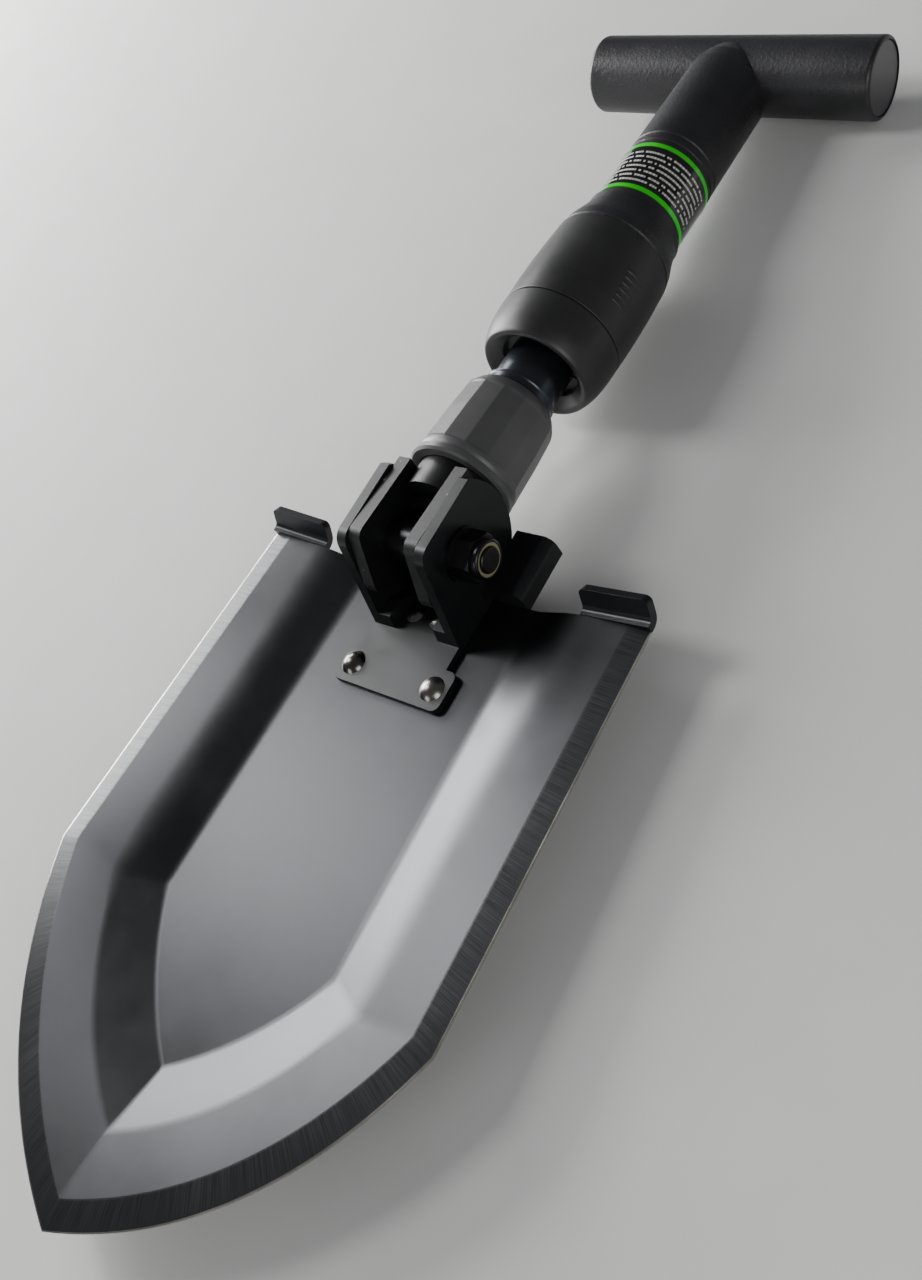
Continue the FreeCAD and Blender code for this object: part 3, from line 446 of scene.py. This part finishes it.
@dataclass
class Blade:
    """Pressed steel blade with a dish, a ground rim and two bent step tabs.

    Attributes:
        sheet: steel thickness in millimetres.
        edge: thickness left at the ground edge.
        depth: depth of the dish.
        side: points on each straight side.
        tip: points on each tip edge.
    """

    sheet: float = 2.5
    edge: float = 0.8
    depth: float = 5.5
    side: int = 60
    tip: int = 72
    soft_side: Sequence[float] = (0.0, 2.2, 5.5, 0.5)
    soft_tip: Sequence[float] = (0.0, 1.1, 1.3, 0.4)
    tab_inner: float = 51.0
    tab_outer: float = 74.3
    tab_foot: float = 1.0
    tab_bend: float = 1.6
    tab_angle: float = 67.0
    tab_rise: float = 5.8
    tab_corner: float = 1.8
    tab_hinge: float = 49.5
    tab_tilt: float = 6.97

    def origin(self) -> Grid:
        """Place of the blade frame's origin in the row frame, in millimetres: the middle of the top edge."""
        return np.array([0.0, PIN[1] / MM - 2.0, PIN[2] / MM - 15.2])

    def loops(self) -> list[Loop]:
        """Outlines from the middle line out to the cutting edge."""
        low = (-self.depth,) * 3
        return [Loop(0.0, 0.0, -100.0, -126.0, 0.0, low),
                Loop(34.0, 35.7, -114.5, -155.5, 3.2, low),
                Loop(49.5, 50.5, -119.5, -175.0, 6.5, (0.0, 0.0, 0.0)),
                Loop(67.33, 70.55, -116.5, -193.6, 10.4, (1.0, 3.4, 2.4)),
                Loop(74.1, 77.75, -118.1, -201.85, 12.3, (0.75, 2.8, 1.55))]

    def rings(self) -> tuple[Grid, Grid, Grid]:
        """Front and back grids and the share of ground band in each ring.

        Between two outlines the surface is straight; at an outline it follows the quadratic curve from a
        point before the bend to a point after it, longer on the sides and short around the tip.

        Returns:
            Front grid, back grid and one ground share per ring.
        """
        flat = [o.half(self.side, self.tip) for o in self.loops()]
        count = self.side + self.tip
        at = np.clip((np.arange(count) - self.side + 10) / 20.0, 0, 1)[:, None]
        rows, share = [flat[0]], [0.0]
        for k in (1, 2, 3):
            p, a, b = flat[k], flat[k - 1] - flat[k], flat[k + 1] - flat[k]
            reach = self.soft_side[k] * (1 - at) + self.soft_tip[k] * at
            la, lb = np.linalg.norm(a, axis=1, keepdims=True), np.linalg.norm(b, axis=1, keepdims=True)
            start = p + a / np.maximum(la, 1e-9) * np.minimum(reach, la * 0.45)
            stop = p + b / np.maximum(lb, 1e-9) * np.minimum(reach, lb * 0.45)
            for t in np.linspace(0, 1, 7):
                rows.append((1 - t) ** 2 * start + 2 * t * (1 - t) * p + t ** 2 * stop)
                share.append(float(k == 3 and t > 0.4))
            if k < 3:
                ahead = flat[k + 1] + (flat[k] - flat[k + 1]) * 0.5
                rows.append(ahead)
                share.append(0.0)
        rows += [flat[4] + (flat[3] - flat[4]) * 0.3, flat[4] + (flat[3] - flat[4]) * 0.05, flat[4]]
        share += [1.0, 1.0, 1.0]
        front = np.array(rows)
        back = front - np.array([0.0, 0.0, self.sheet])
        back[..., 2] = np.maximum(back[..., 2], -self.depth - self.sheet)
        out = np.linalg.norm((flat[4] - flat[2])[:, :2], axis=1)
        gone = np.einsum("rnk,nk->rn", (front - flat[2])[..., :2], (flat[4] - flat[2])[:, :2]) / out ** 2
        line = -self.sheet + gone * (flat[4][:, 2] - self.edge + self.sheet)
        ease = np.clip(gone / 0.3, 0, 1)
        ease = ease * ease * (3 - 2 * ease)
        back[..., 2] += (line - back[..., 2]) * ease
        return front, back, np.array(share)

    def skin(self, coat: bpy.types.Material, bare: bpy.types.Material) -> bpy.types.Object:
        """Closed blade: front, back, cutting edge and top edge, joined on the middle line.

        Args:
            coat: the powder coat.
            bare: the ground steel of the cutting edge.

        Returns:
            The blade.
        """
        front, back, share = self.rings()
        nr, ns = front.shape[:2]
        grid = np.stack([front, back])
        right = (grid + self.origin()) * MM
        left = right * np.array([-1.0, 1.0, 1.0])
        n = nr * ns
        f = quads(nr, ns)
        edge_i = (nr - 1) * ns + np.arange(ns - 1)
        rim = np.stack([edge_i, edge_i + n, edge_i + n + 1, edge_i + 1], axis=-1)
        top_i = np.arange(nr - 1) * ns
        head = np.stack([top_i, top_i + n, top_i + n + ns, top_i + ns], axis=-1)
        half = np.vstack([f[:, ::-1], f + n, rim[:, ::-1], head])
        faces = np.vstack([half, half[:, ::-1] + 2 * n])
        slot = np.concatenate([np.zeros(2 * len(f)), np.ones(len(rim)), np.zeros(len(head))])
        slot[len(f) - (ns - 1):len(f)] = 1.0
        points = np.vstack([right.reshape(-1, 3), left.reshape(-1, 3)])
        piece = build_mesh("blade_sheet", points, faces, "blade", [coat, bare], 26.0, np.tile(slot, 2))
        mesh = piece.data
        run = np.concatenate([[0.0], np.cumsum(np.linalg.norm(np.diff(front[-1], axis=0), axis=1))]) * MM
        across = np.linalg.norm(front - front[-1], axis=-1) * MM
        uv = np.stack(np.broadcast_arrays(run[None, :], across), axis=-1).reshape(-1, 2)
        layer = mesh.uv_layers.new(name="along_across")
        loop_v = np.empty(len(mesh.loops), dtype=np.int32)
        mesh.loops.foreach_get("vertex_index", loop_v)
        layer.data.foreach_set("uv", np.tile(uv, (4, 1))[loop_v].ravel())
        zone = mesh.attributes.new("ground", "FLOAT", "POINT")
        band = np.repeat(share, ns)
        zone.data.foreach_set("value", np.tile(np.concatenate([band, band * 0.0]), 2))
        weld(mesh)
        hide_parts("blade")
        return piece

    def tab(self, hand: int, coat: bpy.types.Material) -> bpy.types.Object:
        """Step tab: the sheet's middle line runs flat, turns by the bend and rises straight.

        The middle line is a function of arc length; the front and back surfaces lie half a sheet to either
        side, the leaf shortens near its ends by the corner's circle, and the whole tab is turned by the tilt
        about a line along the blade, as the rim is.

        Args:
            hand: 1 for the right tab, -1 for the left.
            coat: the powder coat.

        Returns:
            The tab.
        """
        a = math.radians(self.tab_angle)
        radius = self.tab_bend + self.sheet / 2
        rise = (self.tab_rise - self.tab_bend * (1 - math.cos(a))) / math.sin(a)
        bend = radius * a
        full = self.tab_foot + bend + rise
        x = self.tab_inner + (self.tab_outer - self.tab_inner) * (0.5 - 0.5 * np.cos(np.linspace(0, math.pi, 33)))
        gap = np.minimum(x - self.tab_inner, self.tab_outer - x)
        inset = np.clip(self.tab_corner - gap, 0, None)
        length = full - (self.tab_corner - np.sqrt(np.clip(self.tab_corner ** 2 - inset ** 2, 0, None)))
        p = np.linspace(0, 1, 28)[:, None] * length[None, :]
        turn = np.clip((p - self.tab_foot) / radius, 0, a)
        past = np.clip(p - self.tab_foot - bend, 0, None)
        y = np.minimum(p, self.tab_foot) + radius * np.sin(turn) + past * math.cos(a)
        z = radius * (1 - np.cos(turn)) + past * math.sin(a) - self.sheet / 2
        normal = np.stack([0 * turn, -np.sin(turn), np.cos(turn)], axis=-1)
        line = np.stack(np.broadcast_arrays(x[None, :], y, z), axis=-1)
        both = np.stack([line + normal * self.sheet / 2, line - normal * self.sheet / 2])
        tilt, off = math.radians(self.tab_tilt), both[..., 0] - self.tab_hinge
        both = np.stack([(self.tab_hinge + off * math.cos(tilt) - both[..., 2] * math.sin(tilt)) * hand, both[..., 1],
                         off * math.sin(tilt) + both[..., 2] * math.cos(tilt)], axis=-1)
        nr, ns = p.shape
        n = nr * ns
        f = quads(nr, ns)
        border = np.concatenate([np.arange(ns), np.arange(2 * ns - 1, n, ns), np.arange(n - 2, n - ns - 1, -1),
                                 np.arange(n - 2 * ns, 0, -ns)])
        after = np.roll(border, -1)
        wall = np.stack([border, after, after + n, border + n], axis=-1)
        faces = np.vstack([f, f[:, ::-1] + n, wall[:, ::-1]])
        if hand < 0:
            faces = faces[:, ::-1]
        points = (both + self.origin()) * MM
        piece = build_mesh("step_tab_right" if hand > 0 else "step_tab_left", points, faces, "blade", [coat], 40.0)
        bevel = piece.modifiers.new("worn_corners", "BEVEL")
        bevel.width = 0.35 * MM
        bevel.segments = 2
        bevel.limit_method = "ANGLE"
        return piece

    def build(self) -> None:
        """Make the blade and its tabs."""
        coat = BLADE_COAT.build(ground_band)
        self.skin(coat, GROUND_STEEL.build())
        plain = BLADE_COAT.build()
        for hand in (1, -1):
            self.tab(hand, plain)


def weld(mesh: bpy.types.Mesh) -> None:
    """Join vertices that share a place, as on the middle line."""
    import bmesh
    work = bmesh.new()
    work.from_mesh(mesh)
    bmesh.ops.remove_doubles(work, verts=work.verts, dist=1e-7)
    bmesh.ops.dissolve_degenerate(work, edges=work.edges, dist=1e-8)
    work.to_mesh(mesh)
    work.free()
    mesh.set_sharp_from_angle(angle=math.radians(26.0))


# ---------------------------------------------------------------- locking nut and twist collar
@dataclass
class LockingNut:
    """Fluted nut that screws down on the hinge ears.

    Attributes:
        low: place of its lower end along the shaft.
        high: place of its upper end.
        flutes: number of shallow flutes.
        flute_depth: depth of a flute in millimetres.
    """

    low: float = 24.2
    high: float = 54.0
    skirt: float = 26.5
    flutes: int = 14
    flute_depth: float = 0.34

    def fluted(self, r: Grid, along: Grid, t: Grid) -> Grid:
        """Scallop the outside: depth times 4f(1-f) between crisp ridges, f being the share of one flute passed.

        Args:
            r: radius.
            along: place along the shaft.
            t: angle.

        Returns:
            The changed radius.
        """
        part = np.mod(t * self.flutes / (2 * math.pi), 1.0)
        wave = 4 * part * (1 - part)
        fade = np.clip((along - self.low - 2.6) / 0.8, 0, 1) * np.clip((self.high - 3.6 - along) / 1.0, 0, 1)
        return r - np.where(r > 14.5, self.flute_depth * wave * fade, 0.0)

    def build(self) -> None:
        """Make the nut's skin: skirt, tapered barrel with flutes, rounded shoulder and bore."""
        top = self.high
        outside = [[16.75, y] for y in np.linspace(self.low + 1.5, self.low + 2.6, 3)]
        outside += [[16.7 - 0.5 * (y - 27.0) / 13.0, y] for y in np.linspace(27.6, 39, 12)]
        outside += [[16.2 - 0.7 * (y - 40.0) / 9.5, y] for y in np.linspace(40, top - 4.7, 10)]
        corners = [[13.6, self.low], [16.2, self.low]] + outside
        corners += [[15.4, top - 3.4], [13.4, top], [12.4, top], [12.4, top - 2], [13.0, top - 2]]
        corners += [[13.0, self.skirt], [13.6, self.skirt]]
        radii = [0.2, 0.5] + [0.3] * len(outside) + [2.2, 0.9, 0.15, 0.1, 0.1, 0.1, 0.1]
        skin = SHAFT.lathe("locking_nut_skin", soften(corners, radii), "locking_nut", NUT_PAINT.build(), 336, self.fluted)
        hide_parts("locking_nut")


@dataclass
class TwistCollar:
    """Rubber-covered collar: an end bezel and a barrel grip, parted by a fine groove.

    Attributes:
        low: place of its open end along the shaft.
        join: place of the parting groove.
        high: place of its upper end.
        core: radius of the moulding under the rubber.
    """

    low: float = 67.0
    join: float = 83.0
    high: float = 116.3
    core: float = 17.0

    def build(self) -> None:
        """Make the bezel, the grip and its small ridges."""
        rubber = GRIP_RUBBER.build()
        bezel = [[12.9, self.low + 5.5], [12.9, self.low + 3.4], [16.3, self.low + 0.3], [17.9, self.low],
                 [19.9, self.low + 5.5], [20.45, self.low + 12], [20.5, self.join - 0.2], [self.core, self.join - 0.2],
                 [self.core, self.low + 5.5]]
        radii = [0.1, 0.5, 0.7, 2.0, 4.0, 2.5, 0.35, 0.1, 0.1]
        skin = SHAFT.lathe("collar_bezel_skin", soften(bezel, radii, 8), "collar", rubber)
        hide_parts("collar_bezel")
        grip = [[self.core, self.join - 0.2], [19.2, self.join - 0.2], [19.2, self.join + 0.2], [20.45, self.join + 0.2],
                [20.7, self.join + 8], [20.6, self.high - 14], [19.85, self.high], [self.core, self.high]]
        skin = SHAFT.lathe("collar_grip_skin", soften(grip, [0.1, 0.1, 0.1, 0.4, 3.0, 6.0, 0.5, 0.1], 8), "collar", rubber)
        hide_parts("collar_grip")
        self.ridges(rubber)

    def ridges(self, rubber: bpy.types.Material) -> None:
        """Rows of low ribs on both flanks: each rib is a half cosine across and along."""
        for side, middle in (("right", math.radians(72)), ("left", math.radians(-72))):
            blocks, faces = [], []
            u = np.linspace(-1, 1, 9)[:, None]
            v = np.linspace(-1, 1, 9)[None, :]
            lift = 0.55 * np.cos(u * math.pi / 2) ** 0.6 * np.cos(v * math.pi / 2) ** 0.6 - 0.15
            for i in range(6):
                along = 92.0 + i * 2.3 + u * 0.75 + 0 * v
                t = middle + v * 0.2 + 0 * u
                r = 20.62 + lift
                blocks.append(SHAFT.place(r * np.sin(t), along, r * np.cos(t)).reshape(-1, 3))
                faces.append(quads(9, 9, first=i * 81)[:, ::-1])
            piece = build_mesh("collar_ribs_" + side, np.vstack(blocks), np.vstack(faces), "collar", [rubber], 60.0)


@dataclass
class PrintedBand:
    """White printing on the black band: rows of short dashes that stand for lettering.

    Attributes:
        low: place of the first row along the shaft.
        pitch: distance between rows.
        rows: number of rows.
        radius: radius of the printed surface.
        tall: height of a dash in millimetres.
        start: angle where the rows begin, in degrees.
        stop: angle where the rows end.
    """

    low: float = 137.0
    pitch: float = 2.1
    rows: int = 7
    radius: float = 15.73
    tall: float = 0.8
    start: float = -78.0
    stop: float = 105.0

    def build(self) -> None:
        """Lay the dashes: curved patches at a fixed radius, each beginning where the running sum of lengths and gaps ends."""
        draw = np.random.default_rng(7)
        shape = (self.rows, 90)
        long = draw.uniform(0.35, 1.1, shape)
        gap = np.where(draw.random(shape) < 0.2, 1.0, 0.22)
        begin = np.cumsum(long + gap, axis=1) - long
        keep = (begin + long) / self.radius < math.radians(self.stop - self.start)
        along = (self.low + np.arange(self.rows)[:, None] * self.pitch + 0 * long)[keep]
        share = np.linspace(0, 1, 3)[None, None, :]
        t = math.radians(self.start) + (begin[keep][:, None, None] + long[keep][:, None, None] * share) / self.radius
        up = along[:, None, None] + self.tall * np.array([-0.5, 0.5])[None, :, None]
        points = SHAFT.place(self.radius * np.sin(t), up, self.radius * np.cos(t))
        faces = quads(2, 3)[None, :, ::-1] + 6 * np.arange(len(points))[:, None, None]
        piece = build_mesh("band_printing", points, faces, "handle", [WHITE_INK.build()])


# ---------------------------------------------------------------- CAD nodes and the stage
def dress_nodes() -> None:
    """Give every CAD node that stays visible its material."""
    hinge = HINGE_COAT.build(chips(0.735, "8b8780"))
    plan = {"hinge_fork": FORK_PAINT.build(chips(0.66, "9c9890")), "pivot_spacer": BLACK_ZINC.build(),
            "blade_bracket": hinge, "hammer_lug": hinge, "bracket_rivets": RIVET_STEEL.build(),
            "nut_seat_ring": NUT_PAINT.build(), "nut_liner": BRASS.build(), "inner_tube": TUBE_OXIDE.build(),
            "pivot_nut_ring": INSERT_NYLON.build(), "handle_shell": GRAIN_NYLON.build(), "label_band": BAND_FILM.build(),
            "band_stripes": GREEN_FILM.build(), "end_cap_right": CAP_NYLON.build(), "collar_core": INNER_PLASTIC.build(),
            "outer_tube": DRAWN_ALLOY.build()}
    same = {"pivot_bolt": "pivot_spacer", "pivot_washers": "pivot_spacer", "pivot_nut": "pivot_spacer",
            "threaded_sleeve": "inner_tube", "fork_pin": "bracket_rivets", "tube_bush": "collar_core",
            "tube_plug": "collar_core", "lock_collet": "collar_core", "retaining_ring": "bracket_rivets",
            "handle_screw": "pivot_spacer", "end_cap_left": "end_cap_right"}
    for name, like in same.items():
        plan[name] = plan[like]
    for name, mat in plan.items():
        for slot in frame["nodes"][name].material_slots:
            slot.material = mat
        log.info("%s: %s", name, mat.name)


@dataclass
class Studio:
    """Pale floor, soft lights and the camera.

    Attributes:
        eye: the camera's place in metres.
        aim: a point the camera looks at.
        roll: turn of the picture about the line of sight, in degrees.
        lens: focal length in millimetres on a 36 mm tall sensor.
    """

    eye: tuple[float, float, float] = (0.232913, -0.123922, 0.263638)
    aim: tuple[float, float, float] = (0.02662, -0.03117, 0.02282)
    roll: float = -41.41
    lens: float = 33.96
    lamps: Sequence[tuple[str, tuple[float, float, float], float, float]] = field(default_factory=lambda: [
        ("low_left_softbox", (-1.15, 0.12, 0.34), 0.6, 26.0),
        ("high_left_softbox", (-0.80, 0.00, 0.85), 0.30, 5.0),
        ("shoulder_softbox", (-1.0, 0.55, 0.55), 0.35, 6.0),
        ("right_fill", (0.9, -0.5, 0.5), 0.6, 5.0),
        ("tip_fill", (-0.3, -1.0, 0.35), 0.4, 2.0)])

    def camera(self) -> None:
        """Point the camera along eye to aim, with the picture's upright turned by roll."""
        eye = Vector(self.eye)
        back = (eye - Vector(self.aim)).normalized()
        level = Vector((0, 0, 1)).cross(back).normalized()
        upright = back.cross(level)
        a = math.radians(self.roll)
        right = level * math.cos(a) + upright * math.sin(a)
        up = back.cross(right)
        data = bpy.data.cameras.new("camera")
        data.lens = self.lens
        data.sensor_width = 36.0
        data.clip_start = 0.01
        item = bpy.data.objects.new("camera", data)
        turn = Matrix((right, up, back)).transposed().to_4x4()
        item.matrix_world = Matrix.Translation(eye) @ turn
        bpy.context.scene.collection.objects.link(item)
        bpy.context.scene.camera = item

    def build(self) -> None:
        """Make floor, lights, sky and camera."""
        mesh = bpy.data.meshes.new("floor")
        size = 3.0
        mesh.from_pydata([(-size, -size, 0), (size, -size, 0), (size, size, 0), (-size, size, 0)], [], [(0, 1, 2, 3)])
        mat = bpy.data.materials.new("studio_paper")
        mat.use_nodes = True
        tree = mat.node_tree
        shader = tree.nodes["Principled BSDF"]
        grain = add(tree, "TexNoise", {"Vector": add(tree, "TexCoord").outputs["Object"], "Scale": 30.0})
        tree.links.new(ramp(tree, grain.outputs[0], ((0.3, "cfcfcd"), (0.7, "d3d3d1"))), shader.inputs["Base Color"])
        shader.inputs["Roughness"].default_value = 0.8
        mesh.materials.append(mat)
        floor = bpy.data.objects.new("floor", mesh)
        bpy.context.scene.collection.objects.link(floor)
        for name, place, width, power in self.lamps:
            lamp = bpy.data.lights.new(name, "AREA")
            lamp.size = width
            lamp.energy = power
            item = bpy.data.objects.new(name, lamp)
            item.location = place
            item.rotation_euler = (Vector(place) - Vector((0, 0, 0.02))).to_track_quat("Z", "Y").to_euler()
            bpy.context.scene.collection.objects.link(item)
        world = bpy.data.worlds.new("studio")
        bpy.context.scene.world = world
        world.use_nodes = True
        world.node_tree.nodes["Background"].inputs[0].default_value = linear("e8eaee")
        world.node_tree.nodes["Background"].inputs[1].default_value = 0.16
        self.camera()


def main() -> None:
    """Build every sub-assembly, dress the CAD nodes and set the stage."""
    logging.basicConfig(level=logging.INFO, format="%(message)s")
    Blade().build()
    LockingNut().build()
    TwistCollar().build()
    PrintedBand().build()
    dress_nodes()
    Studio().build()


if __name__ == "__main__":
    main()
